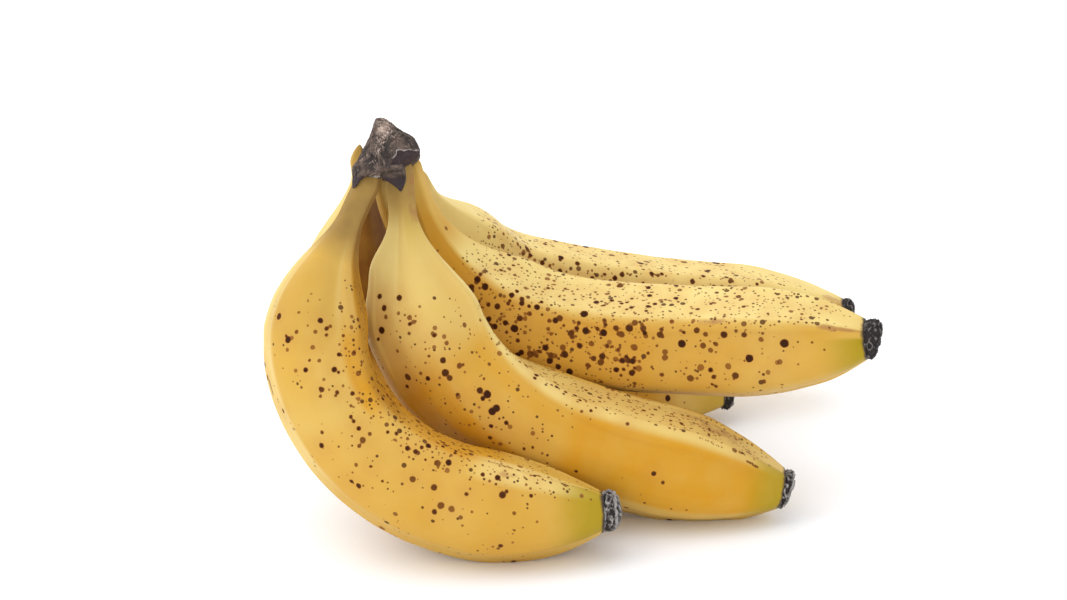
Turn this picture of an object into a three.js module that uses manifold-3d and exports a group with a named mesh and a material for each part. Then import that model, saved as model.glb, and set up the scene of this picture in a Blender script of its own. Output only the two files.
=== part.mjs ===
// A hand of six ripe bananas, lying on a level surface on the bellies of its four lower fingers.
// The six fingers grow from one dried crown, where the hand was cut from its stalk, and each ends
// in the dried scar of its flower. Units are millimetres, +Z is up, and z = 0 is the surface.
// The crown stands at -X, the fingers point to +X, and -Y is the side with the two front fingers.

import * as THREE from 'three';
import { mergeVertices } from 'three/addons/utils/BufferGeometryUtils.js';
import Module from 'manifold-3d';

const wasm = await Module();
wasm.setup();

// Every finger has the same make: a thin neck, a swelling, a full body and a blunt taper.
const BODY_RADIUS = 18.2;
const NECK_RADIUS = 4.5;
const TAPER_LENGTH = 45.5;
const TAPER_BLUNTNESS = 0.8;
const TIP_RADIUS = 5.2;

// Inside the crown a neck narrows towards its root.
const ROOT_SHRINK = 0.65;
const ROOT_LENGTH = 8;

// A finger's section is a rounded pentagon, crisp at the neck and the tip. Over the softening
// length it turns into the softer one of the body.
const FACES = 5;
const BODY_CRISPNESS = 5;
const END_CRISPNESS = 7;
const SOFTENING = 45;

// The bend starts after the neck, and a small share of it is spread over the whole finger.
const STRAIGHT_NECK = 0.12;
const SPREAD_BEND = 0.1;

// The dried scar sits on the cut-off end of the finger, a clear gap away.
const SKIN_END = 2;
const SCAR_RADIUS = 6.6;
const GAP = 0.3;

const SPINE_STEPS = 120;
const FINGER_RINGS = 30;
const FINGER_SIDES = 20;
const RING_CROWDING = 0.05;
const SCAR_SIDES = 14;

// The fingers. root is where the neck starts in the crown. neck and tip are the ways in which the
// finger leaves the crown and ends: a heading in degrees from +X towards +Y, and a pitch upwards.
// sway is how far the root is moved along +X, and the length of neck over which that fades out.
// bendAt and bendSpread are shares of the length. straight is how long the neck stays thin, and
// swell is how long it takes to widen. turn rolls the pentagon round the finger, and scar is how
// long the flower scar is.
const FINGERS = {
  front_left: {
    root: [-64, -26.3, 122.3], neck: [211.7, -49.7], tip: [3.3, 1.5], sway: [-2.8, 30],
    length: 186.5, bendAt: 0.448, bendSpread: 0.358, straight: 19.4, swell: 42,
    girth: 1.02, turn: 49, scar: 6.5,
  },
  front_right: {
    root: [-60.7, -16.6, 125.65], neck: [-74.5, -78.2], tip: [-1, -10.4], sway: [0, 30],
    length: 201.4, bendAt: 0.38, bendSpread: 0.158, straight: 20.4, swell: 40,
    girth: 1.055, turn: 48, scar: 4.5,
  },
  upper_front: {
    root: [-60.2, 1.5, 119.8], neck: [14.6, -74.3], tip: [-13.5, 10.3], sway: [0, 30],
    length: 200.5, bendAt: 0.312, bendSpread: 0.167, straight: 18.8, swell: 56,
    girth: 1.03, turn: 40, scar: 6.5,
  },
  upper_back: {
    root: [-59.2, 23.4, 106.1], neck: [61.8, -51.7], tip: [-5.7, 3.1], sway: [0, 30],
    length: 206.5, bendAt: 0.347, bendSpread: 0.059, straight: 16.2, swell: 46,
    girth: 0.98, turn: 68, scar: 5,
  },
  lower_left: {
    root: [-71.8, 12.1, 117.5], neck: [205.2, -77.5], tip: [-2.3, 3.9], sway: [-3.3, 15],
    length: 182.5, bendAt: 0.477, bendSpread: 0.183, straight: 11, swell: 38,
    girth: 0.93, turn: 60, scar: 6,
  },
  lower_back: {
    root: [-67.2, 19.3, 107.3], neck: [25.8, -80.8], tip: [11.5, -4.7], sway: [-2.5, 30],
    length: 179.3, bendAt: 0.347, bendSpread: 0.054, straight: 19.1, swell: 58,
    girth: 0.905, turn: 36, scar: 5,
  },
};

// The crown is a thick strip that falls towards the back. Its outline is given across the strip,
// x to the right and y up, and is swept along the strip. Two dried flaps hang from its lower edge:
// a corner flap over the front left neck and a pointed one over the front right neck.
const CROWN_FRONT = [-65.7, -24, 128];
const CROWN_FALL = 21;
const CROWN_OUTLINE = [
  [-0.6, 9.8], [1.1, 9.4], [2.7, 8.4], [6.7, 5.8], [10, 3.8], [11.6, 1.5], [12.6, -1.4],
  [11.6, -3.4], [9.6, -5.2], [7.4, -6.6], [7.3, -10.7], [7, -13.4], [4.7, -14.6], [2.7, -12.6],
  [0.8, -10.7], [-1.9, -10.4], [-4.8, -10.2], [-6.8, -11.4], [-9.4, -14.2], [-9.8, -9.6],
  [-9.9, -7], [-7.8, -4.1], [-5.8, 0.5], [-3.2, 5.1], [-2, 9.2],
];
const CROWN_POINTS = 40;
const CROWN_EDGE = -9;
const CORNER_FLAP = [-8, -3];
const POINTED_FLAP = [1, 5];
// Each row is a place along the strip and the size of the outline there.
const CROWN_STATIONS = [
  [-8.5, 0.55], [-7.5, 0.8], [-5.5, 0.93], [-2.5, 0.99], [0.5, 1], [1.5, 1], [4.5, 1], [5.5, 1],
  [14, 0.96], [26, 0.92], [38, 0.88], [48, 0.82], [54, 0.66], [56.5, 0.42],
];
const SOCKET_DEPTH = 34;
const SOCKET_GAP = 0.45;

const SKIN = { color: 0xe2b23c, roughness: 0.5, metalness: 0 };
const SCAR = { color: 0x2b2723, roughness: 0.95, metalness: 0 };
const CROWN = { color: 0x3b302b, roughness: 0.9, metalness: 0 };

function ease(t) {
  const u = THREE.MathUtils.clamp(t, 0, 1);
  return u * u * (3 - 2 * u);
}

function aim(heading, pitch) {
  const h = THREE.MathUtils.degToRad(heading);
  const p = THREE.MathUtils.degToRad(pitch);
  return new THREE.Vector3(Math.cos(h) * Math.cos(p), Math.sin(h) * Math.cos(p), Math.sin(p));
}

// How sharply a finger bends at a share of its length.
function bend(finger, share) {
  const off = (share - finger.bendAt) / finger.bendSpread;
  return (SPREAD_BEND + Math.exp(-off * off)) * ease(share / STRAIGHT_NECK);
}

// The middle line of a finger: a flat curve that turns from the neck's aim to the tip's aim.
function spine(finger) {
  const start = aim(...finger.neck);
  const end = aim(...finger.tip);
  const angle = start.angleTo(end);
  const side = new THREE.Vector3().crossVectors(start, end).normalize();
  const turned = [0];
  for (let i = 1; i <= SPINE_STEPS; i += 1) {
    const mean = (bend(finger, (i - 1) / SPINE_STEPS) + bend(finger, i / SPINE_STEPS)) / 2;
    turned.push(turned[i - 1] + mean);
  }
  const ways = turned.map((t) => start.clone().applyAxisAngle(side, (angle * t) / turned[SPINE_STEPS]));
  const step = finger.length / SPINE_STEPS;
  const points = [new THREE.Vector3(...finger.root)];
  for (let i = 1; i <= SPINE_STEPS; i += 1) {
    const mean = ways[i - 1].clone().add(ways[i]).multiplyScalar(step / 2);
    points.push(points[i - 1].clone().add(mean));
  }
  const [sway, swayLength] = finger.sway;
  points.forEach((point, i) => {
    point.x += sway * (1 - ease((i * step) / swayLength));
  });
  return { points, ways, side, step };
}

// The place at a distance along a spine, with the two ways across it: back is to the outside of
// the bend.
function frameAt(line, distance) {
  const at = THREE.MathUtils.clamp(distance / line.step, 0, SPINE_STEPS);
  const i = Math.min(Math.floor(at), SPINE_STEPS - 1);
  const place = line.points[i].clone().lerp(line.points[i + 1], at - i);
  const way = line.ways[i].clone().lerp(line.ways[i + 1], at - i).normalize();
  place.addScaledVector(way, distance - at * line.step);
  const back = new THREE.Vector3().crossVectors(way, line.side);
  const across = new THREE.Vector3().crossVectors(way, back);
  return { place, back, across };
}

function fingerRadius(finger, distance) {
  const swell = ease((distance - finger.straight) / finger.swell);
  const body = NECK_RADIUS + (BODY_RADIUS - NECK_RADIUS) * swell;
  const taper = THREE.MathUtils.clamp((distance - finger.length + TAPER_LENGTH) / TAPER_LENGTH, 0, 1);
  const blunt = Math.cos((taper * Math.PI) / 2) ** TAPER_BLUNTNESS;
  const end = TIP_RADIUS + (BODY_RADIUS - TIP_RADIUS) * blunt;
  const root = 1 - ROOT_SHRINK * (1 - ease(distance / ROOT_LENGTH));
  return finger.girth * Math.min(body, end) * root;
}

// The radius of a pentagon with soft corners, about 1 on the mean. More crispness is sharper.
function pentagon(angle, crispness) {
  let sum = 0;
  for (let face = 0; face < FACES; face += 1) {
    const lean = Math.cos(angle - (2 * Math.PI * face) / FACES);
    sum += Math.max(lean, 0) ** crispness;
  }
  return sum ** (-1 / crispness);
}

function pentagonMean(crispness) {
  let sum = 0;
  for (let i = 0; i < 60; i += 1) {
    sum += pentagon((2 * Math.PI * i) / 60, crispness);
  }
  return sum / 60;
}

// A closed body through rings of equally many points, with a middle point on each end.
function loft(rings) {
  const sides = rings[0].length;
  const positions = [];
  const index = [];
  rings.forEach((ring) => ring.forEach((p) => positions.push(p.x, p.y, p.z)));
  for (let r = 0; r < rings.length - 1; r += 1) {
    for (let i = 0; i < sides; i += 1) {
      const j = (i + 1) % sides;
      const [a, b] = [r * sides + i, r * sides + j];
      const [c, d] = [a + sides, b + sides];
      index.push(a, b, d, a, d, c);
    }
  }
  const last = (rings.length - 1) * sides;
  [0, last].forEach((first, which) => {
    const ring = rings[which ? rings.length - 1 : 0];
    const middle = ring.reduce((sum, p) => sum.add(p), new THREE.Vector3()).divideScalar(sides);
    const centre = positions.length / 3;
    positions.push(middle.x, middle.y, middle.z);
    for (let i = 0; i < sides; i += 1) {
      const j = (i + 1) % sides;
      index.push(centre, ...(which ? [first + i, first + j] : [first + j, first + i]));
    }
  });
  const geometry = new THREE.BufferGeometry();
  geometry.setAttribute('position', new THREE.Float32BufferAttribute(positions, 3));
  geometry.setIndex(index);
  return geometry;
}

function solid(geometry) {
  const bare = geometry.clone();
  bare.deleteAttribute('normal');
  bare.deleteAttribute('uv');
  const merged = mergeVertices(bare, 1e-3);
  return new wasm.Manifold(new wasm.Mesh({
    numProp: 3,
    vertProperties: merged.attributes.position.array,
    triVerts: merged.index.array,
  }));
}

function toGeometry(body) {
  const mesh = body.getMesh();
  const geometry = new THREE.BufferGeometry();
  geometry.setAttribute('position', new THREE.Float32BufferAttribute(mesh.vertProperties, 3));
  geometry.setIndex(Array.from(mesh.triVerts));
  return geometry;
}

// A ring of points round a finger, grown outwards by a clearance where one is given.
function fingerRing(finger, line, distance, clearance = 0) {
  const { place, back, across } = frameAt(line, distance);
  const radius = fingerRadius(finger, distance);
  const fromEnd = Math.min(distance - finger.straight, finger.length - distance);
  const soft = ease(fromEnd / SOFTENING);
  const crispness = END_CRISPNESS + (BODY_CRISPNESS - END_CRISPNESS) * soft;
  const mean = pentagonMean(crispness);
  const turn = THREE.MathUtils.degToRad(finger.turn);
  const ring = [];
  for (let i = 0; i < FINGER_SIDES; i += 1) {
    const angle = (2 * Math.PI * i) / FINGER_SIDES;
    const reach = (radius * pentagon(angle - turn, crispness)) / mean + clearance;
    ring.push(place.clone()
      .addScaledVector(back, reach * Math.cos(angle))
      .addScaledVector(across, reach * Math.sin(angle)));
  }
  return ring;
}

// How far from the root the rings of a finger are, closer together at both ends.
function ringDistances(finger) {
  const distances = [];
  for (let i = 0; i <= FINGER_RINGS; i += 1) {
    const u = i / FINGER_RINGS;
    const share = u - RING_CROWDING * Math.sin(2 * Math.PI * u);
    distances.push(share * (finger.length - SKIN_END));
  }
  return distances;
}

function fingerGeometry(finger) {
  const line = spine(finger);
  return loft(ringDistances(finger).map((distance) => fingerRing(finger, line, distance)));
}

// The neck with the clearance round it and above it, which the crown is cut by.
function socketGeometry(finger) {
  const line = spine(finger);
  const inCrown = ringDistances(finger).filter((distance) => distance < SOCKET_DEPTH);
  const distances = [-SOCKET_GAP, ...inCrown];
  return loft(distances.map((distance) => fingerRing(finger, line, distance, SOCKET_GAP)));
}

// The dried flower scar: a knobbly stub that widens a little and breaks off ragged.
function scarGeometry(finger) {
  const line = spine(finger);
  const start = finger.length - SKIN_END + GAP;
  const profile = [[0, 0.92], [0.18, 1.04], [0.42, 1.06], [0.66, 0.98], [0.86, 0.78], [1, 0.45]];
  const rings = profile.map(([share, size], r) => {
    const { place, back, across } = frameAt(line, start + share * finger.scar);
    const ring = [];
    for (let i = 0; i < SCAR_SIDES; i += 1) {
      const angle = (2 * Math.PI * i) / SCAR_SIDES;
      const knobs = 0.07 * Math.sin(3 * angle + finger.turn) + 0.05 * Math.sin(5 * angle + 2 * r);
      const reach = SCAR_RADIUS * size * (1 + share * knobs);
      ring.push(place.clone()
        .addScaledVector(back, reach * Math.cos(angle))
        .addScaledVector(across, reach * Math.sin(angle)));
    }
    return ring;
  });
  return loft(rings);
}

function crownGeometry() {
  const fall = THREE.MathUtils.degToRad(CROWN_FALL);
  const along = new THREE.Vector3(0, Math.cos(fall), -Math.sin(fall));
  const up = new THREE.Vector3(0, Math.sin(fall), Math.cos(fall));
  const outline = new THREE.CatmullRomCurve3(
    CROWN_OUTLINE.map(([x, y]) => new THREE.Vector3(x, y, 0)), true, 'centripetal');
  const points = outline.getSpacedPoints(CROWN_POINTS).slice(0, CROWN_POINTS);
  const rings = CROWN_STATIONS.map(([at, size]) => points.map(({ x, y }) => {
    const [first, last] = x < 0 ? CORNER_FLAP : POINTED_FLAP;
    const level = at > first && at < last ? y : Math.max(y, CROWN_EDGE);
    return new THREE.Vector3(...CROWN_FRONT)
      .addScaledVector(along, at)
      .addScaledVector(up, level * size)
      .add(new THREE.Vector3(x * size, 0, 0));
  }));
  return loft(rings);
}

// Everything below the surface, which the resting bellies are cut flat by.
function belowSurface() {
  return solid(new THREE.BoxGeometry(600, 600, 40).translate(0, 0, -20));
}

function addPiece(group, name, geometry, look) {
  const mesh = new THREE.Mesh(geometry, new THREE.MeshStandardMaterial(look));
  mesh.name = name;
  group.add(mesh);
}

const group = new THREE.Group();
const surface = belowSurface();
let crown = solid(crownGeometry());
Object.entries(FINGERS).forEach(([place, finger]) => {
  addPiece(group, `finger_${place}`, toGeometry(solid(fingerGeometry(finger)).subtract(surface)), SKIN);
  addPiece(group, `blossom_end_${place}`, toGeometry(solid(scarGeometry(finger))), SCAR);
  crown = crown.subtract(solid(socketGeometry(finger)));
});
addPiece(group, 'crown', toGeometry(crown), CROWN);

export default group;
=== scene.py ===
import math

import bpy
import numpy as np
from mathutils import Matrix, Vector, noise


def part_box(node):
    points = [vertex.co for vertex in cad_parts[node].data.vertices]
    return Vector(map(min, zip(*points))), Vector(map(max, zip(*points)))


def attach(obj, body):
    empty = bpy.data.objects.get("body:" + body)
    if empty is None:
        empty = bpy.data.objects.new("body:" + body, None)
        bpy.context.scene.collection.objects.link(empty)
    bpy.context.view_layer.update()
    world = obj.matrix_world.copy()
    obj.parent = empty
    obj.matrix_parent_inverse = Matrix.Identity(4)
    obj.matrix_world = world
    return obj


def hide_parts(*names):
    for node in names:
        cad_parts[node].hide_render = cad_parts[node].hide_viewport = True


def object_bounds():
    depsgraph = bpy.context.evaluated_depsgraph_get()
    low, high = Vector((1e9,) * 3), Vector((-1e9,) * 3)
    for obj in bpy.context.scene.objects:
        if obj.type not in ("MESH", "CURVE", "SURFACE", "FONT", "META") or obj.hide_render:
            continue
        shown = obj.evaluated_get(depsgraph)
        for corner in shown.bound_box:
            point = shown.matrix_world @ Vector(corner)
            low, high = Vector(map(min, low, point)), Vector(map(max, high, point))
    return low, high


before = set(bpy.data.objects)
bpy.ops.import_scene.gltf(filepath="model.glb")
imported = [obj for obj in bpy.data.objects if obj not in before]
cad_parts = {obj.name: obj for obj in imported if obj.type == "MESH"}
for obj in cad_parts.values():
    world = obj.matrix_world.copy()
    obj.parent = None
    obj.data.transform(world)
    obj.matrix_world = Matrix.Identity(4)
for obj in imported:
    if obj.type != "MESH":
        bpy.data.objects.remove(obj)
cad_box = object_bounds()


# The six fingers
# Each is a whole banana in its peel: a thin neck, a swelling, a five-sided body and a blunt taper.
# They grow from the crown, so nothing fixes them but their own necks.

MM = 0.001
BODY_RADIUS = 18.2
NECK_RADIUS = 4.5
TAPER_LENGTH = 45.5
TAPER_BLUNTNESS = 0.8
TIP_RADIUS = 5.2
ROOT_SHRINK = 0.65
ROOT_LENGTH = 8
END_CRISPNESS = 7
SOFTENING = 45
LOW_RIDGE = 300
LOW_REACH = 50
LOW_EDGE = 25
LOW_SOFTENING = 2
LOW_FLATTENING = 0.85
TWIST_FROM = 60
TWIST_LENGTH = 70
STRAIGHT_NECK = 0.12
SPREAD_BEND = 0.1
ROOT_DOME = 3
SKIN_END = 2
SPINE_STEPS = 240
RING_CROWDING = 0.05
RIDGE_EDGE = 5
SKIN_INSET = 0.3
BOX_PLAY = 0.4

# Each finger starts at its root in mm, and its neck and tip aim at a heading and a pitch in degrees.
# The ridge is half the width in degrees of the ridges between the five faces, and its height is how
# far they stand out. The crispness is of the corners over the body, and the fineness is how many
# rings and sides the mesh has. Near the neck the faces are turned by the twist, which has run out
# where the body is thickest. A bulge or a dent is its height in mm, its middle and length in mm
# along the finger, and its middle and width in degrees round it.
FINGERS = {
    "front_left": dict(
        root=(-64, -26.3, 122.3), neck=(211.7, -49.7), tip=(3.3, 1.5), sway=(-2.8, 30),
        length=186.5, bend_at=0.448, bend_spread=0.358, straight=19.4, swell=42,
        girth=1.02, turn=49, twist=0, scar=6.5, ridge=9, ridge_height=0.35,
        crispness=5, fineness=(420, 220), bulges=[(-3.3, 67, 18, 172, 30)]),
    "front_right": dict(
        root=(-60.7, -16.6, 125.65), neck=(-74.5, -78.2), tip=(-1, -10.4), sway=(0, 30),
        length=201.4, bend_at=0.38, bend_spread=0.158, straight=20.4, swell=40,
        girth=1.055, turn=48, twist=-34, scar=4.5, ridge=12, ridge_height=0.5,
        crispness=6, fineness=(440, 215), bulges=[(2.2, 37, 6, 350, 45)]),
    "upper_front": dict(
        root=(-60.2, 1.5, 119.8), neck=(14.6, -74.3), tip=(-13.5, 10.3), sway=(0, 30),
        length=200.5, bend_at=0.312, bend_spread=0.167, straight=18.8, swell=56,
        girth=1.03, turn=40, twist=0, scar=6.5, ridge=8, ridge_height=0.45,
        crispness=9, fineness=(440, 215), bulges=[]),
    "upper_back": dict(
        root=(-59.2, 23.4, 106.1), neck=(61.8, -51.7), tip=(-5.7, 3.1), sway=(0, 30),
        length=206.5, bend_at=0.347, bend_spread=0.059, straight=16.2, swell=46,
        girth=0.98, turn=68, twist=0, scar=5, ridge=8, ridge_height=0.4,
        crispness=8, fineness=(330, 150), bulges=[]),
    "lower_left": dict(
        root=(-71.8, 12.1, 117.5), neck=(205.2, -77.5), tip=(-2.3, 3.9), sway=(-3.3, 15),
        length=182.5, bend_at=0.477, bend_spread=0.183, straight=11, swell=38,
        girth=0.93, turn=60, twist=0, scar=6, ridge=9, ridge_height=0.35,
        crispness=6, fineness=(240, 120), bulges=[]),
    "lower_back": dict(
        root=(-67.2, 19.3, 107.3), neck=(25.8, -80.8), tip=(11.5, -4.7), sway=(-2.5, 30),
        length=179.3, bend_at=0.347, bend_spread=0.054, straight=19.1, swell=58,
        girth=0.905, turn=36, twist=0, scar=5, ridge=9, ridge_height=0.35,
        crispness=6, fineness=(240, 120), bulges=[]),
}


def ease(t):
    u = np.clip(t, 0, 1)
    return u * u * (3 - 2 * u)


def unit(v):
    return v / np.linalg.norm(v, axis=-1, keepdims=True)


def aim(heading, pitch):
    h, p = math.radians(heading), math.radians(pitch)
    return np.array([math.cos(h) * math.cos(p), math.sin(h) * math.cos(p), math.sin(p)])


def spine(finger):
    """The middle line of a finger, which turns in one plane from the neck's aim to the tip's."""
    start, end = aim(*finger["neck"]), aim(*finger["tip"])
    side = unit(np.cross(start, end))
    share = np.linspace(0, 1, SPINE_STEPS + 1)
    off = (share - finger["bend_at"]) / finger["bend_spread"]
    bend = (SPREAD_BEND + np.exp(-off * off)) * ease(share / STRAIGHT_NECK)
    turned = np.concatenate([[0], np.cumsum((bend[1:] + bend[:-1]) / 2)])
    turned *= math.acos(np.dot(start, end)) / turned[-1]
    ahead = np.cross(side, start)
    ways = np.cos(turned)[:, None] * start + np.sin(turned)[:, None] * ahead
    step = finger["length"] / SPINE_STEPS
    moves = (ways[1:] + ways[:-1]) * step / 2
    points = np.array(finger["root"]) + np.concatenate([np.zeros((1, 3)), np.cumsum(moves, axis=0)])
    sway, sway_length = finger["sway"]
    points[:, 0] += sway * (1 - ease(share * finger["length"] / sway_length))
    return points, ways, side, step


def frames_at(finger, distance):
    """Places along a finger, with the ways back (outside of the bend), across and along there."""
    points, ways, side, step = spine(finger)
    at = np.clip(distance / step, 0, SPINE_STEPS)
    i = np.minimum(at.astype(int), SPINE_STEPS - 1)
    t = (at - i)[:, None]
    place = points[i] * (1 - t) + points[i + 1] * t
    way = unit(ways[i] * (1 - t) + ways[i + 1] * t)
    place = place + way * (distance - at * step)[:, None]
    back = np.cross(way, side)
    return place, back, np.cross(way, back), way


def finger_radius(finger, distance):
    swell = ease((distance - finger["straight"]) / finger["swell"])
    body = NECK_RADIUS + (BODY_RADIUS - NECK_RADIUS) * swell
    taper = np.clip((distance - finger["length"] + TAPER_LENGTH) / TAPER_LENGTH, 0, 1)
    end = TIP_RADIUS + (BODY_RADIUS - TIP_RADIUS) * np.cos(taper * math.pi / 2) ** TAPER_BLUNTNESS
    root = 1 - ROOT_SHRINK * (1 - ease(distance / ROOT_LENGTH))
    dome = np.sqrt(1 - (1 - np.clip(distance / ROOT_DOME, 0.02, 1)) ** 2)
    return finger["girth"] * np.minimum(body, end) * root * dome


def pentagon(angle, crispness):
    lean = np.stack([np.cos(angle - 2 * math.pi * face / 5) for face in range(5)])
    return (np.maximum(lean, 0) ** crispness).sum(axis=0) ** (-1 / crispness)


def pentagon_mean(crispness):
    turns = np.linspace(0, 2 * math.pi, 60, endpoint=False)
    return np.array([pentagon(turns, c).mean() for c in crispness])


def lumps(points, size, seed):
    """Smooth noise about 0 over points in millimetres, with lumps of about that size."""
    shift = Vector((seed * 17.3, seed * 5.1, seed * 9.7))
    return np.array([noise.noise(Vector(p) / size + shift) for p in points])


def untwisted(finger, distance, angle):
    """An angle in radians as the degrees it would have round a finger without its twist."""
    return np.degrees(angle) - finger["twist"] * (1 - ease((distance - TWIST_FROM) / TWIST_LENGTH))


def low_side(turn):
    """1 round the ridge on the low side of a finger, which is rounder than the others."""
    return ease((LOW_REACH - np.abs((turn - LOW_RIDGE + 180) % 360 - 180)) / LOW_EDGE)


def skin_point(finger, distance, angle):
    """Places on the skin at distances in mm from the root and angles in radians round the finger."""
    place, back, across, _ = frames_at(finger, distance)
    from_end = np.minimum(distance - finger["straight"], finger["length"] - distance)
    crisp = END_CRISPNESS + (finger["crispness"] - END_CRISPNESS) * ease(from_end / SOFTENING)
    straight = untwisted(finger, distance, angle)
    crisp = crisp - LOW_SOFTENING * low_side(straight)
    lean = np.radians(straight - finger["turn"])
    reach = finger_radius(finger, distance) * pentagon(lean, crisp) / pentagon_mean(crisp)
    for height, middle, length, turn, width in finger["bulges"]:
        off = (np.degrees(angle) - turn + 180) % 360 - 180
        reach = reach + height * np.exp(-((distance - middle) / length) ** 2 - (off / width) ** 2)
    return place + back * (reach * np.cos(angle))[:, None] + across * (reach * np.sin(angle))[:, None]


def within_box(points, node):
    """The points kept to the CAD node's box, but for a slight play, and to the box of the hand."""
    low, high = (np.array(corner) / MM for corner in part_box(node))
    points = np.clip(points, low - BOX_PLAY, high + BOX_PLAY)
    return np.clip(points, *(np.array(corner) / MM for corner in cad_box))


def smooth_mesh(name, points, faces):
    mesh = bpy.data.meshes.new(name)
    mesh.from_pydata([tuple(p) for p in points * MM], [], faces)
    mesh.update()
    mesh.shade_smooth()
    piece = bpy.data.objects.new(name, mesh)
    bpy.context.collection.objects.link(piece)
    return piece


def ring_faces(rings, sides):
    """Quads through rings of points, and a fan on a middle point at each end."""
    faces = []
    for r in range(rings - 1):
        for i in range(sides):
            j = (i + 1) % sides
            faces.append((r * sides + i, r * sides + j, (r + 1) * sides + j, (r + 1) * sides + i))
    first, last, end = rings * sides, rings * sides + 1, (rings - 1) * sides
    for i in range(sides):
        j = (i + 1) % sides
        faces.append((first, j, i))
        faces.append((last, end + i, end + j))
    return faces


def add_values(piece, **values):
    for name, value in values.items():
        layer = piece.data.attributes.new(name, "FLOAT", "POINT")
        layer.data.foreach_set("value", np.asarray(value, dtype=np.float32))


class Value:
    """A socket of a material, with the arithmetic of its values."""

    def __init__(self, tree, socket=None):
        self.tree = tree
        self.socket = socket

    def node(self, kind, settings=None, sockets=None, out=0):
        made = self.tree.nodes.new(kind)
        for name, value in (settings or {}).items():
            setattr(made, name, value)
        for name, value in (sockets or {}).items():
            if isinstance(value, Value):
                self.tree.links.new(value.socket, made.inputs[name])
            else:
                made.inputs[name].default_value = value
        return Value(self.tree, made.outputs[out])

    def output(self, name):
        """Another output of the node that made this value."""
        return Value(self.tree, self.socket.node.outputs[name])

    def math(self, operation, first, second):
        return self.node("ShaderNodeMath", {"operation": operation}, {0: first, 1: second})

    def __add__(self, other):
        return self.math("ADD", self, other)

    def __radd__(self, other):
        return self.math("ADD", other, self)

    def __sub__(self, other):
        return self.math("SUBTRACT", self, other)

    def __rsub__(self, other):
        return self.math("SUBTRACT", other, self)

    def __mul__(self, other):
        return self.math("MULTIPLY", self, other)

    def __rmul__(self, other):
        return self.math("MULTIPLY", other, self)

    def rise(self, low, high):
        """0 below low and 1 above high, with a smooth step between; falls where low is the higher."""
        down = low > high
        step = self.node("ShaderNodeMapRange", {"interpolation_type": "SMOOTHSTEP"}, {
            "Value": self, "From Min": min(low, high), "From Max": max(low, high)})
        return 1 - step if down else step

    def mix(self, under, over):
        """The colour under where this value is 0 and over where it is 1."""
        return self.node("ShaderNodeMix", {"data_type": "RGBA"}, {
            0: self, 6: opaque(under), 7: opaque(over)}, out=2)


def opaque(colour):
    return colour if isinstance(colour, Value) else (*colour, 1)


def new_look(name):
    """A material, its shader, and a Value to start its nodes from."""
    look = bpy.data.materials.new(name)
    look.use_nodes = True
    shader = look.node_tree.nodes["Principled BSDF"]
    return look, shader, Value(look.node_tree)


def link(value, shader, name):
    value.tree.links.new(value.socket, shader.inputs[name])


def layer(start, name):
    return start.node("ShaderNodeAttribute", {"attribute_name": name}, out=2)


def grain(place, scale, detail=2.0):
    return place.node("ShaderNodeTexNoise", {}, {
        "Vector": place, "Scale": scale, "Detail": detail, "Roughness": 0.55})


def bump(height, strength):
    return height.node("ShaderNodeBump", {}, {
        "Strength": strength, "Distance": 0.0004, "Height": height})


RIPE_YELLOW = (0.62, 0.41, 0.105)
RIPE_OCHRE = (0.58, 0.345, 0.06)
# Painted shade: a deep golden orange for the shaded sides and the gaps between the fingers.
PAINTED_SHADE_GOLD = (0.56, 0.26, 0.01)
# Painted highlight: a pale cream where light and sheen fall on the tops, ridges and lit edges.
PAINTED_HIGHLIGHT_CREAM = (0.73, 0.57, 0.21)
RIPE_TAN = (0.50, 0.24, 0.05)
LEFT_GREEN = (0.36, 0.25, 0.008)
NECK_KHAKI = (0.27, 0.165, 0.05)
# Painted shade: a dark brown for the shaded gaps between the necks and fingers.
PAINTED_SHADE_BROWN = (0.17, 0.065, 0.01)
SCUFF_BROWN = (0.34, 0.15, 0.06)
DOT_BROWN = (0.07, 0.022, 0.006)
DOT_RED = (0.24, 0.09, 0.02)
FRECKLE_RED = (0.17, 0.045, 0.006)
FRECKLE_BLACK = (0.026, 0.008, 0.002)
BURNT_END = (0.07, 0.05, 0.04)
PEEL_ROUGHNESS = 0.44
PEEL_SPECULAR = 0.1
PEEL_RELIEF = 0.3
# How many lumps there are in a metre of each texture.
CLOUD_SCALE = 28
STAIN_SCALE = 75
SCUFF_SCALE = 260
FRECKLE_SCALE = 650
PORE_SCALE = 900
# The same for small dots of two sizes, and how many of the places for one have it.
DOT_SCALES = [(620, 1.0), (330, 0.75)]


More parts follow.
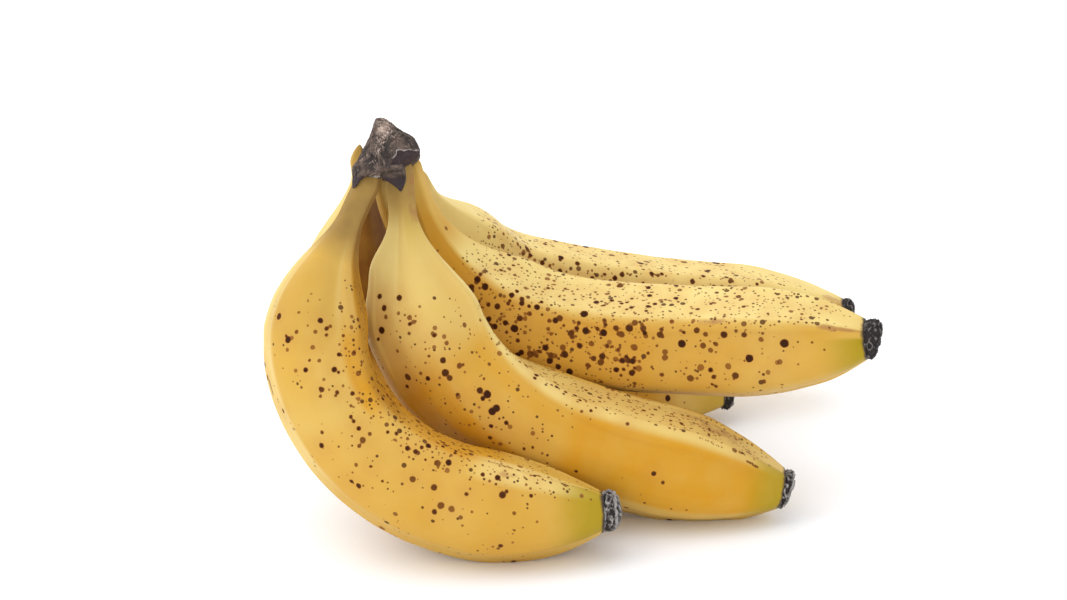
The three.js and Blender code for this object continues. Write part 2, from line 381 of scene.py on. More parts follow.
def skin_look():
    look, shader, start = new_look("speckled banana peel")
    place = start.node("ShaderNodeTexCoord", out=3)
    spot, tone, tan, to_tip = (layer(start, name) for name in ("spot", "tone", "tan", "to_tip"))

    # Ripe yellow in soft clouds, with green left before the tip and a neck gone khaki. Over it go
    # painted shade in deep golden orange on the shaded sides and between the fingers, painted shade in
    # dark brown in the gaps between the necks, and a painted highlight in cream on the lit tops, ridges
    # and edges. Each of these has an uneven edge.
    cloud = grain(place, CLOUD_SCALE, 3.0)
    uneven = grain(place, STAIN_SCALE, 3.0)

    # Lays a colour over the skin within a patch layer, with an uneven edge: the real green and khaki, and
    # the painted shade and highlight.
    def stain_and_painted_light(name, colour, over, strength):
        return (layer(start, name) * (strength - 0.4 + 0.8 * uneven)).mix(colour, over)

    colour = cloud.rise(0.3, 0.72).mix(RIPE_OCHRE, RIPE_YELLOW)
    colour = stain_and_painted_light("golden", colour, PAINTED_SHADE_GOLD, 0.85)
    colour = stain_and_painted_light("pale", colour, PAINTED_HIGHLIGHT_CREAM, 0.9)
    colour = (tan * 0.3).mix(colour, RIPE_TAN)
    colour = stain_and_painted_light("green", colour, LEFT_GREEN, 0.9)
    colour = stain_and_painted_light("khaki", colour, NECK_KHAKI, 0.9)
    colour = stain_and_painted_light("brown", colour, PAINTED_SHADE_BROWN, 0.9)

    # Scuffs, broken up by a fine grain.
    scratchy = grain(place, SCUFF_SCALE, 3.0)
    scuffed = (layer(start, "scuff") + (scratchy - 0.5) * 1.1).rise(0.35, 0.8)
    colour = (scuffed * 0.7).mix(colour, SCUFF_BROWN)

    # Small dots of two sizes: points scattered through space, seen where the skin cuts them.
    marks = 0
    for scale, share in DOT_SCALES:
        cells = start.node("ShaderNodeTexVoronoi", {}, {"Vector": place, "Scale": scale})
        chances = start.node("ShaderNodeSeparateColor", {}, {0: cells.output("Color")})
        kept = (layer(start, "dots") * share - chances).rise(0.0, 0.12)
        reach = kept * (0.15 + 0.22 * chances.output("Green"))
        dotted = (reach - cells).rise(0.0, 0.07)
        shade = chances.output("Blue").rise(0.2, 0.8).mix(DOT_RED, DOT_BROWN)
        colour = (dotted * 0.9).mix(colour, shade)
        marks = dotted + marks

    # Freckles: round spots with ragged edges, black-brown in the thick of them.
    ragged = spot + (grain(place, FRECKLE_SCALE) - 0.5) * 0.5
    rim = ragged.rise(0.12, -0.1)
    colour = (rim * (0.65 + 0.35 * tone)).mix(colour, FRECKLE_RED)
    core = ragged.rise(0.0, -0.4) * tone.rise(0.35, 0.95)
    colour = (core * 0.93).mix(colour, FRECKLE_BLACK)

    # The last of the skin is dried dark against the blossom end.
    burnt = (to_tip + (scratchy - 0.5) * 2.4).rise(3.2, 2.1)
    colour = burnt.mix(colour, BURNT_END)
    link(colour, shader, "Base Color")

    dull = 0.12 * cloud + 0.1 * marks + 0.2 * rim + 0.25 * layer(start, "khaki")
    link(PEEL_ROUGHNESS + dull, shader, "Roughness")
    relief = grain(place, PORE_SCALE, 1.0) * 0.25 + uneven * 0.6 - rim * 0.35
    link(bump(relief, PEEL_RELIEF), shader, "Normal")
    shader.inputs["Specular IOR Level"].default_value = PEEL_SPECULAR
    return look


# Where the skin differs, and where light and shade are painted on it: golden is painted shade on the
# shaded sides and between the fingers, brown is painted shade between the necks, and pale is a painted
# highlight on the lit tops, ridges and edges. Each row is the first and last mm from the root, the
# middle and the half width of the place in degrees round the untwisted finger, and how much of the
# difference there is.
PATCHES = {
    "front_left": {
        # The second khaki row is painted shade: it dulls the upper front of this finger, where the light
        # falls strongest.
        "khaki": [(-20, 33, 270, 180, 1.0), (30, 62, 290, 60, 0.22)],
        "brown": [(4, 52, 196, 26, 0.55), (30, 105, 212, 16, 0.35)],
        "green": [(172, 200, 275, 60, 1.0), (178, 200, 215, 25, 0.6)],
        "pale": [(30, 100, 0, 30, 0.6), (140, 182, 226, 16, 0.9), (25, 60, 240, 12, 0.4)],
        "golden": [(30, 150, 184, 42, 1.0), (26, 95, 228, 18, 1.0), (90, 178, 275, 60, 0.35)],
        "dots": [(40, 176, 208, 42, 1.0), (50, 165, 280, 70, 0.22), (50, 165, 85, 80, 0.5)],
        "scuff": [(146, 156, 232, 4, 0.8)]},
    "front_right": {
        "khaki": [(-20, 22, 265, 180, 0.9)],
        "brown": [],
        "green": [(190, 210, 275, 62, 1.0), (20, 30, 258, 40, 0.4)],
        "pale": [
            (36, 120, 223, 10, 1.0), (120, 190, 224, 8, 0.55), (22, 70, 310, 120, 0.5),
            (22, 52, 0, 40, 1.0), (60, 200, 195, 25, 0.5)],
        "golden": [
            (66, 195, 272, 38, 0.5), (120, 195, 272, 38, 1.0), (60, 140, 355, 55, 1.0),
            (44, 160, 250, 10, 0.6)],
        "dots": [(62, 190, 194, 30, 1.0), (50, 125, 280, 60, 0.4), (55, 170, 85, 80, 0.5)],
        "scuff": [(2, 30, 240, 34, 0.5), (158, 186, 188, 16, 0.55)]},
    "upper_front": {
        "khaki": [(-20, 6, 265, 180, 0.7)],
        "brown": [(4, 45, 290, 25, 0.4)],
        "green": [(190, 210, 280, 42, 1.0)],
        "pale": [(38, 200, 184, 34, 1.0)],
        "golden": [(20, 130, 258, 34, 0.7), (130, 190, 258, 34, 0.35)],
        "dots": [
            (44, 194, 186, 40, 1.0), (40, 130, 262, 45, 0.75), (120, 180, 262, 45, 0.35),
            (50, 170, 70, 80, 0.6)],
        "scuff": [(140, 158, 219, 4, 0.7), (182, 200, 221, 5, 0.9)]},
    "upper_back": {
        "khaki": [(-20, 6, 230, 180, 0.6)],
        "brown": [],
        "green": [(194, 210, 330, 60, 0.6)],
        "pale": [(8, 206, 150, 100, 1.0)],
        "golden": [],
        "dots": [(40, 190, 200, 70, 0.85), (50, 170, 50, 80, 0.6)],
        "scuff": [(196, 206, 190, 40, 0.8), (18, 26, 232, 12, 0.8)]},
    "lower_left": {
        "khaki": [(-20, 8, 230, 180, 0.8)],
        "brown": [(16, 75, 225, 75, 1.0)],
        "green": [(168, 190, 270, 120, 0.7)],
        "pale": [(5, 60, 20, 60, 0.6)],
        "golden": [(20, 160, 230, 80, 0.8)],
        "dots": [(50, 150, 180, 180, 0.4)],
        "scuff": []},
    "lower_back": {
        "khaki": [(-20, 8, 230, 180, 0.4)],
        "brown": [],
        "green": [(166, 190, 270, 120, 0.5)],
        "pale": [(-20, 70, 230, 180, 0.8)],
        "golden": [(75, 150, 250, 180, 1.0)],
        "dots": [(50, 160, 180, 180, 0.4)],
        "scuff": [(152, 162, 230, 20, 0.7)]},
}
# Freckles scattered at random: the same first four figures, round the finger as it is, then how
# many, and the smallest and the largest radius in mm.
FRECKLES = {
    "front_left": [
        (48, 95, 250, 40, 24, 0.45, 0.9), (60, 165, 285, 45, 18, 0.5, 1.0),
        (85, 165, 212, 26, 60, 0.4, 0.8), (60, 165, 90, 110, 130, 0.4, 1.4)],
    "front_right": [
        (50, 105, 275, 45, 26, 0.4, 0.9), (100, 170, 280, 40, 8, 0.4, 0.7),
        (75, 130, 194, 22, 40, 0.4, 0.8), (120, 186, 196, 26, 110, 0.45, 1.0),
        (60, 170, 80, 80, 110, 0.4, 1.5)],
    "upper_front": [
        (52, 125, 256, 40, 170, 0.55, 1.4), (115, 175, 256, 36, 80, 0.45, 1.0),
        (58, 185, 186, 34, 170, 0.4, 1.0), (60, 165, 70, 70, 150, 0.4, 1.5)],
    "upper_back": [
        (50, 175, 196, 52, 200, 0.45, 1.2), (60, 160, 60, 90, 150, 0.4, 1.4)],
    "lower_left": [(50, 140, 180, 180, 190, 0.4, 1.4)],
    "lower_back": [(50, 150, 180, 180, 210, 0.4, 1.5)],
}
# The freckles that stand out, placed by where the photograph shows them: x and y in its pixels,
# the radius in mm, and how dark they are.
MARKS = {
    "front_left": [
        (279, 316, 1.2, 0.8), (288, 340, 1.2, 0.9), (287, 350, 0.7, 0.4), (321, 321, 1.0, 0.9),
        (326, 328, 0.8, 0.8), (326, 335, 0.6, 0.7), (316, 332, 0.7, 0.5), (299, 313, 0.6, 0.4),
        (297, 332, 0.7, 0.6), (312, 347, 0.8, 0.4), (309, 360, 0.6, 0.7), (319, 361, 0.6, 0.5),
        (296, 371, 0.7, 0.2), (335, 370, 1.0, 0.9), (352, 394, 0.8, 0.8), (351, 417, 0.7, 0.8),
        (354, 421, 0.7, 0.8), (322, 433, 0.7, 0.7), (322, 446, 1.0, 0.9), (369, 434, 0.7, 0.6),
        (362, 440, 1.1, 0.6), (359, 446, 0.7, 0.6), (388, 432, 0.6, 0.8), (397, 433, 0.7, 0.8),
        (407, 448, 0.9, 0.9), (415, 452, 0.9, 0.8), (422, 448, 0.7, 0.8), (357, 465, 0.7, 0.5),
        (351, 481, 0.8, 0.8), (359, 486, 1.0, 0.8), (412, 479, 1.1, 0.6), (438, 464, 1.1, 0.6),
        (449, 463, 1.1, 0.9), (434, 487, 1.1, 0.7), (441, 505, 1.2, 0.6), (452, 510, 1.1, 0.5),
        (483, 474, 0.7, 0.8), (498, 478, 1.0, 0.9), (502, 495, 1.2, 0.8), (507, 492, 0.7, 0.8),
        (531, 496, 0.7, 0.8), (514, 513, 0.7, 0.5)],
    "front_right": [
        (380, 296, 1.0, 0.8), (399, 297, 1.1, 0.8), (384, 308, 1.1, 0.8), (386, 317, 0.8, 0.5),
        (399, 313, 0.7, 0.4), (382, 330, 1.3, 0.9), (378, 339, 0.7, 0.8), (409, 318, 0.9, 0.5),
        (414, 322, 0.8, 0.5), (410, 334, 0.7, 0.6), (432, 334, 0.7, 0.5), (446, 343, 0.8, 0.5),
        (443, 360, 1.1, 0.8), (460, 366, 1.0, 0.6), (408, 377, 1.3, 0.7), (420, 373, 0.7, 0.5),
        (446, 373, 1.3, 0.8), (449, 378, 1.0, 0.7), (407, 387, 0.8, 0.8), (479, 391, 1.1, 0.8),
        (487, 394, 1.4, 1.0), (496, 408, 1.3, 0.9), (492, 412, 1.3, 1.0), (458, 396, 0.8, 0.2),
        (511, 427, 0.8, 0.2), (533, 433, 0.8, 0.3), (523, 449, 0.6, 0.7), (533, 448, 0.6, 0.7),
        (654, 473, 0.9, 0.8), (663, 483, 0.7, 0.7)],
    "upper_front": [
        (471, 287, 1.1, 0.8), (497, 306, 1.1, 0.8), (508, 304, 0.8, 0.7), (514, 328, 1.4, 1.0),
        (505, 323, 1.0, 0.9), (489, 319, 1.0, 0.9), (495, 326, 1.0, 0.9), (555, 321, 1.1, 0.9),
        (549, 321, 0.8, 0.6), (571, 334, 1.2, 0.7), (579, 323, 0.8, 0.7), (586, 331, 1.3, 0.9),
        (604, 332, 1.3, 1.0), (598, 328, 0.8, 0.7), (605, 320, 0.8, 0.7), (622, 335, 1.2, 0.6),
        (618, 334, 0.8, 0.6), (635, 322, 1.1, 0.6), (645, 336, 0.9, 0.5), (660, 335, 1.2, 0.7),
        (662, 329, 0.8, 0.7), (635, 347, 1.2, 0.5), (592, 343, 1.0, 0.5), (565, 355, 1.3, 0.8),
        (549, 361, 1.2, 0.9), (531, 354, 0.9, 0.7), (603, 357, 1.2, 0.8), (594, 358, 1.0, 0.7),
        (616, 359, 0.9, 0.4), (665, 352, 1.0, 0.5), (665, 357, 1.1, 0.5), (682, 344, 1.4, 1.0),
        (697, 331, 1.1, 0.7), (706, 335, 0.9, 0.6), (724, 334, 1.3, 0.8), (690, 379, 1.2, 0.6),
        (700, 367, 1.2, 0.4), (638, 368, 1.1, 0.4), (728, 366, 1.1, 0.4), (736, 375, 1.2, 0.7),
        (784, 344, 1.5, 1.0), (750, 359, 1.4, 1.0), (744, 335, 1.0, 0.7), (761, 339, 0.9, 0.5),
        (764, 381, 0.8, 0.6), (768, 373, 0.8, 0.2), (777, 363, 0.8, 0.1), (812, 342, 0.5, 0.6),
        (825, 350, 0.5, 0.6), (739, 297, 1.0, 0.6), (744, 307, 0.8, 0.7), (446, 228, 0.8, 0.5),
        (703, 345, 1.1, 0.6), (710, 350, 0.9, 0.5), (716, 344, 0.8, 0.6)],
    "upper_back": [
        (543, 262, 1.0, 0.8), (560, 270, 0.9, 0.8), (578, 264, 1.0, 0.8), (622, 274, 1.0, 0.8)],
    "lower_left": [],
    "lower_back": [(668, 398, 1.2, 0.9)],
}
# Scratches, as the x and y of both ends in the same pixels, half the width in mm, and darkness.
SCRATCHES = {
    "front_left": [(492, 462, 512, 468, 0.4, 0.4), (262, 382, 270, 396, 0.5, 0.7)],
    "front_right": [(747, 461, 757, 467, 0.45, 0.6), (700, 438, 722, 447, 0.35, 0.4)],
    "upper_front": [(796, 388, 812, 384, 0.3, 0.7)],
    "upper_back": [(481, 241, 503, 249, 0.3, 0.6)],
    "lower_left": [],
    "lower_back": [],
}
SCRATCH_STEPS = 9
# How far a patch of skin fades at its ends in mm and at its sides in degrees.
PATCH_END = 8
PATCH_SIDE = 5
# How closely scattered freckles keep to the middle of their place, and how rare the large ones are.
SCATTER = 0.55
RARITY = 1.7
# The skin is tanned within this many mm of the freckles that are larger than the radius.
TAN_REACH = 4.5
TAN_RADIUS = 0.7

CAMERA_HEIGHT = 21
CAMERA_AIM = (-15.7, 0, 65)
CAMERA_DISTANCE = 1000
CAMERA_FOCAL = 2900
PHOTO_SIZE = (1067, 600)


def eye():
    tilt = math.radians(CAMERA_HEIGHT)
    return np.array(CAMERA_AIM) + CAMERA_DISTANCE * np.array([0, -math.cos(tilt), math.sin(tilt)])


def pixels_of(points):
    """Where points in millimetres show in the photograph, in its pixels."""
    tilt = math.radians(CAMERA_HEIGHT)
    off = points - eye()
    depth = off @ np.array([0, math.cos(tilt), -math.sin(tilt)])
    rise = off @ np.array([0, math.sin(tilt), math.cos(tilt)])
    x = PHOTO_SIZE[0] / 2 + CAMERA_FOCAL * off[:, 0] / depth
    y = PHOTO_SIZE[1] / 2 - CAMERA_FOCAL * rise / depth
    return np.stack([x, y], axis=1)


def patch(distance, turn, first, last, middle, half):
    """How far inside a place on the skin each point is: 1 within, 0 outside, soft at the edges."""
    off = np.abs((turn - middle + 180) % 360 - 180)
    start = ease((distance - first + PATCH_END) / (2 * PATCH_END))
    stop = ease((last + PATCH_END - distance) / (2 * PATCH_END))
    return start * stop * ease((half + PATCH_SIDE - off) / (2 * PATCH_SIDE))


def freckles_of(place, finger, points, out, rng):
    """Every freckle as its middle, radius and darkness: scattered ones, marks and scratches."""
    freckles = []
    for first, last, middle, half, count, small, large in FRECKLES[place]:
        for _ in range(count):
            at = np.array([rng.uniform(first, last)])
            turn = np.radians([middle + rng.normal(0, SCATTER) * half])
            radius = small + (large - small) * rng.random() ** RARITY
            dark = np.clip(rng.normal(0.45 + 0.4 * radius / large, 0.25), 0, 1)
            freckles.append((skin_point(finger, at, turn)[0], radius, dark))
    seen = pixels_of(points)
    hidden = np.where(((eye() - points) * out).sum(axis=1) > 0, 0, 1e6)

    def nearest(x, y):
        return points[np.argmin((seen[:, 0] - x) ** 2 + (seen[:, 1] - y) ** 2 + hidden)]

    for x, y, radius, dark in MARKS[place]:
        freckles.append((nearest(x, y), radius, dark))
    for x0, y0, x1, y1, radius, dark in SCRATCHES[place]:
        for t in np.linspace(0, 1, SCRATCH_STEPS):
            freckles.append((nearest(x0 + (x1 - x0) * t, y0 + (y1 - y0) * t), radius, dark))
    return freckles


def build_finger(place, finger, seed):
    rng = np.random.default_rng(seed)
    node = "finger_" + place
    rings, sides = finger["fineness"]
    share = np.linspace(0, 1, rings)
    share = share - RING_CROWDING * np.sin(2 * math.pi * share)
    distance = np.repeat(share * (finger["length"] - SKIN_END), sides)
    to_tip = finger["length"] - distance
    angle = np.tile(np.linspace(0, 2 * math.pi, sides, endpoint=False), rings)
    points = skin_point(finger, distance, angle)
    out = unit(points - frames_at(finger, distance)[0])

    # The ridges wander and stand out a little, more so before the tip, and the skin is uneven.
    wander = 3 * np.sin(distance / 23 + seed) + 1.5 * np.sin(distance / 9 + 2 * seed)
    turn = untwisted(finger, distance, angle)
    off_ridge = np.abs((turn - finger["turn"] + wander) % 72 - 36)
    grown = ease((distance - 20) / 30) * ease((to_tip - 3) / 14)
    band = ease((finger["ridge"] - off_ridge) / RIDGE_EDGE + 0.5) - 0.5
    band = band * (1 - LOW_FLATTENING * low_side(turn))
    relief = finger["ridge_height"] * band * grown * (1 + ease((60 - to_tip) / 35))
    relief += grown * (0.5 * lumps(points, 26, seed) + 0.12 * lumps(points, 7, seed + 40))
    points = within_box(points + out * (relief - SKIN_INSET)[:, None], node)

    def capped(value):
        value = np.asarray(value, dtype=float)
        ends = np.stack([value[:sides].mean(axis=0), value[-sides:].mean(axis=0)])
        return np.concatenate([value, ends])

    values = {"to_tip": to_tip}
    for name, rows in PATCHES[place].items():
        values[name] = np.zeros(len(points))
        for *where, amount in rows:
            values[name] = np.maximum(values[name], amount * patch(distance, turn, *where))
    spot = np.full(len(points), 3.0)
    tone, tan = np.zeros(len(points)), np.zeros(len(points))
    for centre, radius, dark in freckles_of(place, finger, points, out, rng):
        gap = np.linalg.norm(points - centre, axis=1) - radius
        tone[gap < spot] = dark
        spot = np.minimum(spot, gap)
        if radius > TAN_RADIUS:
            tan = np.maximum(tan, np.exp(-((gap + radius) / TAN_REACH) ** 2))
    values.update(spot=spot, tone=tone, tan=tan)

    piece = smooth_mesh(node + "_peel", capped(points), ring_faces(rings, sides))
    add_values(piece, **{name: capped(value) for name, value in values.items()})
    piece.data.materials.append(peel)
    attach(piece, "root")
    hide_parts(node)


peel = skin_look()
for number, (place, finger) in enumerate(FINGERS.items()):
    build_finger(place, finger, number + 3)


# The blossom ends
# The dried scar of the flower at the tip of each finger: a ragged grey-black stub of withered
# fibres, with a pale rim. It is part of the fruit and sits on the end of the skin.

# The crust starts a little inside the end of the skin.
SCAR_RADIUS = 6.6
SCAR_START = -0.4
SCAR_RINGS = 50
SCAR_SIDES = 100
SCAR_PROFILE = [
    (0, 0.90), (0.12, 1.0), (0.3, 1.06), (0.5, 1.06), (0.68, 0.98), (0.82, 0.82), (0.93, 0.6), (1, 0.3)]
# How much longer each is on its upper side, how grey its crust is, and how pale its rim is.
SCAR_KINDS = {
    "front_left": (0.0, 0.14, 0.9), "front_right": (0.35, 0.18, 0.7), "upper_front": (0.35, -0.12, 0.1),
    "upper_back": (0.1, -0.05, 0.1), "lower_left": (0.0, 0.0, 0.3), "lower_back": (0.1, 0.0, 0.4)}
CRUST_BLACK = (0.026, 0.022, 0.021)
CRUST_GREY = (0.13, 0.118, 0.112)
CRUST_PALE = (0.33, 0.315, 0.30)


def crust_look():
    look, shader, start = new_look("withered blossom crust")
    crest, rim = layer(start, "crest"), layer(start, "rim")
    fine = grain(start.node("ShaderNodeTexCoord", out=3), 1100, 3.0)
    worn = crest + (fine - 0.5) * 0.7
    colour = worn.rise(0.3, 0.62).mix(CRUST_BLACK, CRUST_GREY)
    colour = worn.rise(0.62, 0.95).mix(colour, CRUST_PALE)
    colour = (rim + (fine - 0.5) * 1.2).rise(0.3, 0.8).mix(colour, CRUST_PALE)
    link(colour, shader, "Base Color")
    link(0.8 + 0.15 * fine, shader, "Roughness")
    link(bump(fine, 0.6), shader, "Normal")
    shader.inputs["Specular IOR Level"].default_value = 0.2
    return look


def build_scar(place, finger, seed):
    node = "blossom_end_" + place
    slant, grey, pale = SCAR_KINDS[place]
    start = finger["length"] - SKIN_END + SCAR_START
    share = np.repeat(np.linspace(0, 1, SCAR_RINGS), SCAR_SIDES)
    angle = np.tile(np.linspace(0, 2 * math.pi, SCAR_SIDES, endpoint=False), SCAR_RINGS)
    size = np.interp(share, *zip(*SCAR_PROFILE))
    _, back, across, way = frames_at(finger, start + share * finger["scar"])
    out = back * np.cos(angle)[:, None] + across * np.sin(angle)[:, None]
    longer = 1 + slant * out[:, 2] * size - slant / 2
    place_at = frames_at(finger, start + share * finger["scar"] * longer)[0]
    knobs = 0.07 * np.sin(3 * angle + finger["turn"]) + 0.05 * np.sin(5 * angle)
    points = place_at + out * (SCAR_RADIUS * size * (1 + share * knobs))[:, None]
    streaks = points * np.array([1, 1, 0.5])
    swirl = streaks + 1.2 * np.stack([lumps(points, 2.5, seed + n) for n in (11, 12, 13)], axis=1)
    folds = 1 - np.abs(lumps(swirl, 2.1, seed)) * 3.2
    fine = 1 - np.abs(lumps(swirl, 0.8, seed + 5)) * 3.0
    crest = np.clip(0.65 * folds + 0.35 * fine, 0, 1)
    points = points + out * (0.75 * (crest - 0.75))[:, None] + way * (0.9 * (crest - 0.7) * share)[:, None]
    points = within_box(points, node)
    rim = pale * np.maximum(ease((0.16 - share) / 0.12), ease(1 - np.abs(share - 0.72) / 0.14))
    ends = [points[:SCAR_SIDES].mean(axis=0), points[-SCAR_SIDES:].mean(axis=0)]
    piece = smooth_mesh(node + "_crust", np.vstack([points, ends]), ring_faces(SCAR_RINGS, SCAR_SIDES))
    add_values(
        piece, crest=np.concatenate([crest + grey, [0.5, 0.5]]), rim=np.concatenate([rim, [0, 0]]))
    piece.data.materials.append(crust)
    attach(piece, "root")
    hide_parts(node)


crust = crust_look()
for number, (place, finger) in enumerate(FINGERS.items()):
    build_scar(place, finger, number + 21)


# The crown
# The cut-off stub of the stalk that all six necks grow from, dried to dark crumpled fibre. It is
# one piece with the necks, and two dried flaps of it hang down over the two front necks.

CROWN_FRONT = (-65.7, -24, 128)
CROWN_FALL = 21
CROWN_OUTLINE = [
    (-0.6, 9.8), (1.1, 9.4), (2.7, 8.4), (6.7, 5.8), (10, 3.8), (11.6, 1.5), (12.6, -1.4),
    (11.6, -3.4), (9.6, -5.2), (7.6, -6.6), (7.7, -9.6), (7.2, -12.2), (6.2, -14.3), (4.6, -12.8),
    (2.4, -11.2), (0.8, -10.7), (-1.9, -10.4), (-4.8, -10.2), (-6.8, -11.4), (-9.4, -14.2), (-9.8, -9.6),
    (-9.9, -7), (-7.8, -4.1), (-5.8, 0.5), (-3.2, 5.1), (-2, 9.2),
]
CROWN_EDGE = -9
FLAP_LENGTH = 6
CORNER_FLAP = (-8, -3)
POINTED_FLAP = (1, 5)
CROWN_STATIONS = [
    (-9, 0.05), (-8.9, 0.3), (-8.5, 0.55), (-7.5, 0.8), (-5.5, 0.93), (-2.5, 0.99), (0.5, 1), (5.5, 1),
    (14, 0.96), (26, 0.92), (38, 0.88), (48, 0.82), (54, 0.66), (56.5, 0.42), (57, 0.05),
]
CROWN_RINGS = 200
CROWN_SIDES = 240
BARK_DARK = (0.036, 0.027, 0.024)
BARK_BROWN = (0.14, 0.10, 0.08)
BARK_SMOOTH = (0.04, 0.025, 0.03)
BARK_TAN = (0.60, 0.46, 0.38)
BARK_PALE = (0.42, 0.38, 0.35)


def bark_look():
    look, shader, start = new_look("dried crown fibre")
    crest, bare, sleek, edge = (layer(start, name) for name in ("crest", "bare", "sleek", "edge"))
    place = start.node("ShaderNodeTexCoord", out=3)
    fine = grain(place, 2300, 3.0)
    worn = crest * 0.7 + (fine - 0.5) * 1.6
    colour = grain(place, 230, 3.0).rise(0.35, 0.65).mix(BARK_DARK, BARK_BROWN)
    colour = (worn.rise(0.4, 0.8) * (0.3 + 0.5 * bare)).mix(colour, BARK_TAN)
    patchy = (bare + (fine - 0.5) * 1.6 + (crest - 0.5) * 0.5).rise(0.25, 1.15)
    colour = (patchy * 0.75).mix(colour, BARK_TAN)
    colour = (sleek * 0.9).mix(colour, BARK_SMOOTH)
    colour = (edge + (fine - 0.5) * 0.9).rise(0.4, 0.8).mix(colour, BARK_PALE)
    link(colour, shader, "Base Color")
    link(0.6 + 0.25 * fine, shader, "Roughness")
    link(bump(fine * (1 - 0.8 * sleek), 0.6), shader, "Normal")
    shader.inputs["Specular IOR Level"].default_value = 0.3
    return look


def closed_curve(corners, count):
    """Evenly spaced points on a smooth closed curve through the corners."""
    corners = np.array(corners, dtype=float)
    fine = []
    for i in range(len(corners)):
        a, b, c, d = (corners[(i + n) % len(corners)] for n in (-1, 0, 1, 2))
        t = np.linspace(0, 1, 40, endpoint=False)[:, None]
        cubic = 2 * b + (c - a) * t + (2 * a - 5 * b + 4 * c - d) * t ** 2
        fine.append((cubic + (3 * b - a - 3 * c + d) * t ** 3) / 2)
    fine = np.vstack(fine + [corners[:1]])
    walked = np.concatenate([[0], np.cumsum(np.linalg.norm(np.diff(fine, axis=0), axis=1))])
    at = np.linspace(0, walked[-1], count, endpoint=False)
    return np.stack([np.interp(at, walked, fine[:, n]) for n in (0, 1)], axis=1)


def build_crown():
    fall = math.radians(CROWN_FALL)
    along = np.array([0, math.cos(fall), -math.sin(fall)])
    up = np.array([0, math.sin(fall), math.cos(fall)])
    outline = closed_curve(CROWN_OUTLINE, CROWN_SIDES)
    walk = np.linspace(0, len(CROWN_STATIONS) - 1, CROWN_RINGS)
    stations = np.array(CROWN_STATIONS, dtype=float)
    at = np.interp(walk, range(len(stations)), stations[:, 0])
    size = np.interp(walk, range(len(stations)), stations[:, 1])
    at, size = np.repeat(at, CROWN_SIDES), np.repeat(size, CROWN_SIDES)
    x, y = np.tile(outline[:, 0], CROWN_RINGS), np.tile(outline[:, 1], CROWN_RINGS)
    first = np.where(x < 0, CORNER_FLAP[0], POINTED_FLAP[0])
    last = np.where(x < 0, CORNER_FLAP[1], POINTED_FLAP[1])
    inside = np.minimum(at - first, last - at)
    y = np.maximum(y, CROWN_EDGE - FLAP_LENGTH * ease((inside + 1.5) / 2.5))
    x, y = x * size, y * size
    middle = np.array(CROWN_FRONT) + along * at[:, None]
    points = middle + up * y[:, None] + np.array([1, 0, 0]) * x[:, None]
    out = unit(points - middle)

    # On the front: a folded lobe at the right with a pale lip, and flaps under a frayed lip.
    front = ease((9 - at) / 6)
    ragged = 0.5 * lumps(points, 1.6, 67) + 0.4 * lumps(points, 4, 68)
    lobe = ease((-0.8 + ragged - y) / 0.8) * ease((x - 5.8 - y / 2 + ragged) / 0.8)
    lobe = lobe * ease((y + 6.4) / 0.8) * front
    flap = ease((CROWN_EDGE - 0.4 + ragged - y) / 0.7) * front
    sleek = np.maximum(lobe, flap)
    edge = 3.4 * lobe * (1 - lobe) * ease((y + 5) / 1.5)
    edge = np.maximum(edge, 4 * flap * (1 - flap) * np.exp(-((x + 2) / 2.4) ** 2))
    points = points + along * (1.1 * lobe + 0.7 * flap - 0.5 * edge)[:, None]

    stretched = points * np.array([1, 1, 0.35])
    swirl = stretched + 1.5 * np.stack([lumps(points, 5, n) for n in (61, 62, 63)], axis=1)
    folds = 1 - np.abs(lumps(swirl, 1.5, 64)) * 3
    fine = 1 - np.abs(lumps(swirl, 0.6, 65)) * 3
    crest = np.clip(0.5 * folds + 0.5 * fine, 0, 1)
    crumple = (0.6 * (crest - 0.8) * (1 - 0.8 * sleek) + 0.7 * lumps(points, 8, 66))
    points = points + out * crumple[:, None] - along * (0.5 * (crest - 0.8) * front)[:, None]
    points = within_box(points, "crown")
    bare = np.exp(-((x - 1.4) / 3.4) ** 2 - ((y - 5.5) / 4.2) ** 2)
    streak = 0.6 * np.exp(-((x + 0.3 - 0.35 * y) / 1.8) ** 2) * ease((y + 8) / 6)
    bare = np.maximum(bare, streak) * ease((4 - at) / 6)
    ends = [points[:CROWN_SIDES].mean(axis=0), points[-CROWN_SIDES:].mean(axis=0)]
    piece = smooth_mesh("crown_bark", np.vstack([points, ends]), ring_faces(CROWN_RINGS, CROWN_SIDES))
    for name, value in dict(crest=crest, bare=bare, sleek=sleek, edge=edge).items():
        add_values(piece, **{name: np.concatenate([value, [0.5 * (name == "crest"), 0]])})
    piece.data.materials.append(bark_look())
    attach(piece, "root")
    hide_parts("crown")


build_crown()


# The studio
# A plain white table in a white room, with soft light from the left, the front, above and behind.
# The camera looks down on it a little.

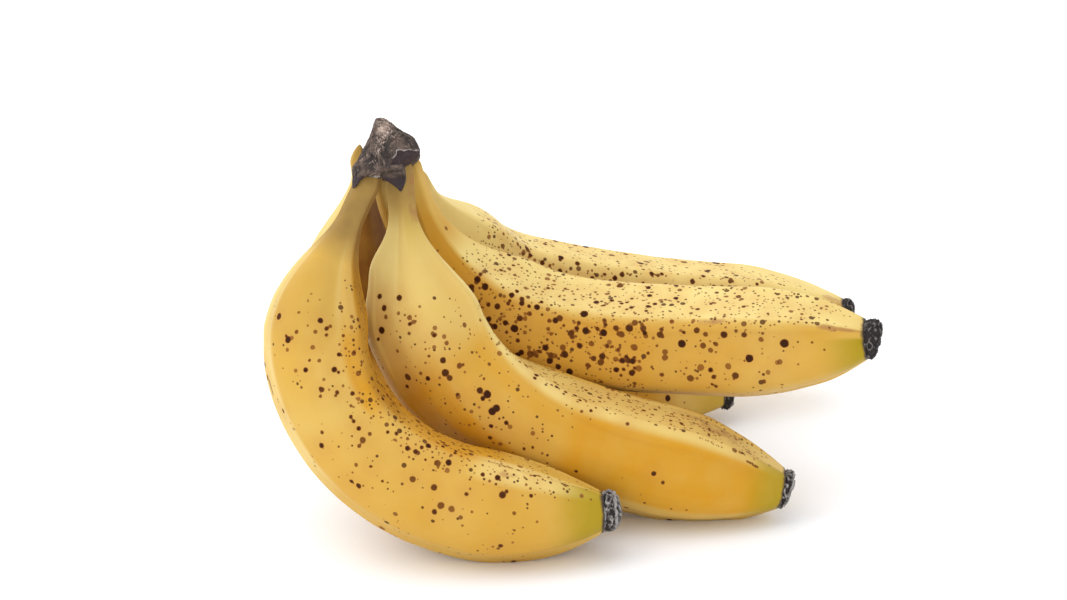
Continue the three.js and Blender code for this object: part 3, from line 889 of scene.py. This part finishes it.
FLOOR_SIZE = 12
SENSOR_WIDTH = 36
WORLD_STRENGTH = 1.03


def build_floor():
    half = FLOOR_SIZE / 2
    corners = [(-half, -half, 0), (half, -half, 0), (half, half, 0), (-half, half, 0)]
    mesh = bpy.data.meshes.new("table")
    mesh.from_pydata(corners, [], [(0, 1, 2, 3)])
    floor = bpy.data.objects.new("table", mesh)
    bpy.context.collection.objects.link(floor)
    look, shader, _ = new_look("white table")
    shader.inputs["Base Color"].default_value = (0.95, 0.965, 1.0, 1)
    shader.inputs["Roughness"].default_value = 0.7
    shader.inputs["Specular IOR Level"].default_value = 0.1
    mesh.materials.append(look)


def add_softbox(name, place, size, power):
    """A square light at a place in metres that faces the hand."""
    light = bpy.data.lights.new(name, "AREA")
    light.shape = "SQUARE"
    light.size = size
    light.energy = power
    holder = bpy.data.objects.new(name, light)
    holder.location = place
    holder.rotation_euler = (Vector((0, 0, 0.05)) - Vector(place)).to_track_quat("-Z", "Y").to_euler()
    bpy.context.collection.objects.link(holder)


build_floor()
add_softbox("left softbox", (-1.2, -0.3, 1.0), 1.2, 6)
add_softbox("front softbox", (-0.3, -1.6, 0.5), 1.2, 3.5)
add_softbox("top softbox", (-0.35, 0.2, 1.6), 1.5, 5.5)
add_softbox("back softbox", (-0.5, 1.3, 0.8), 1.4, 8)

world = bpy.data.worlds.new("white studio")
world.use_nodes = True
world.node_tree.nodes["Background"].inputs["Color"].default_value = (1, 1, 1, 1)
world.node_tree.nodes["Background"].inputs["Strength"].default_value = WORLD_STRENGTH
bpy.context.scene.world = world

camera = bpy.data.objects.new("camera", bpy.data.cameras.new("camera"))
camera.location = eye() * MM
camera.rotation_euler = (math.pi / 2 - math.radians(CAMERA_HEIGHT), 0, 0)
camera.data.sensor_width = SENSOR_WIDTH
camera.data.lens = SENSOR_WIDTH * CAMERA_FOCAL / PHOTO_SIZE[0]
bpy.context.collection.objects.link(camera)
bpy.context.scene.camera = camera
bpy.context.scene.view_settings.view_transform = "Standard"
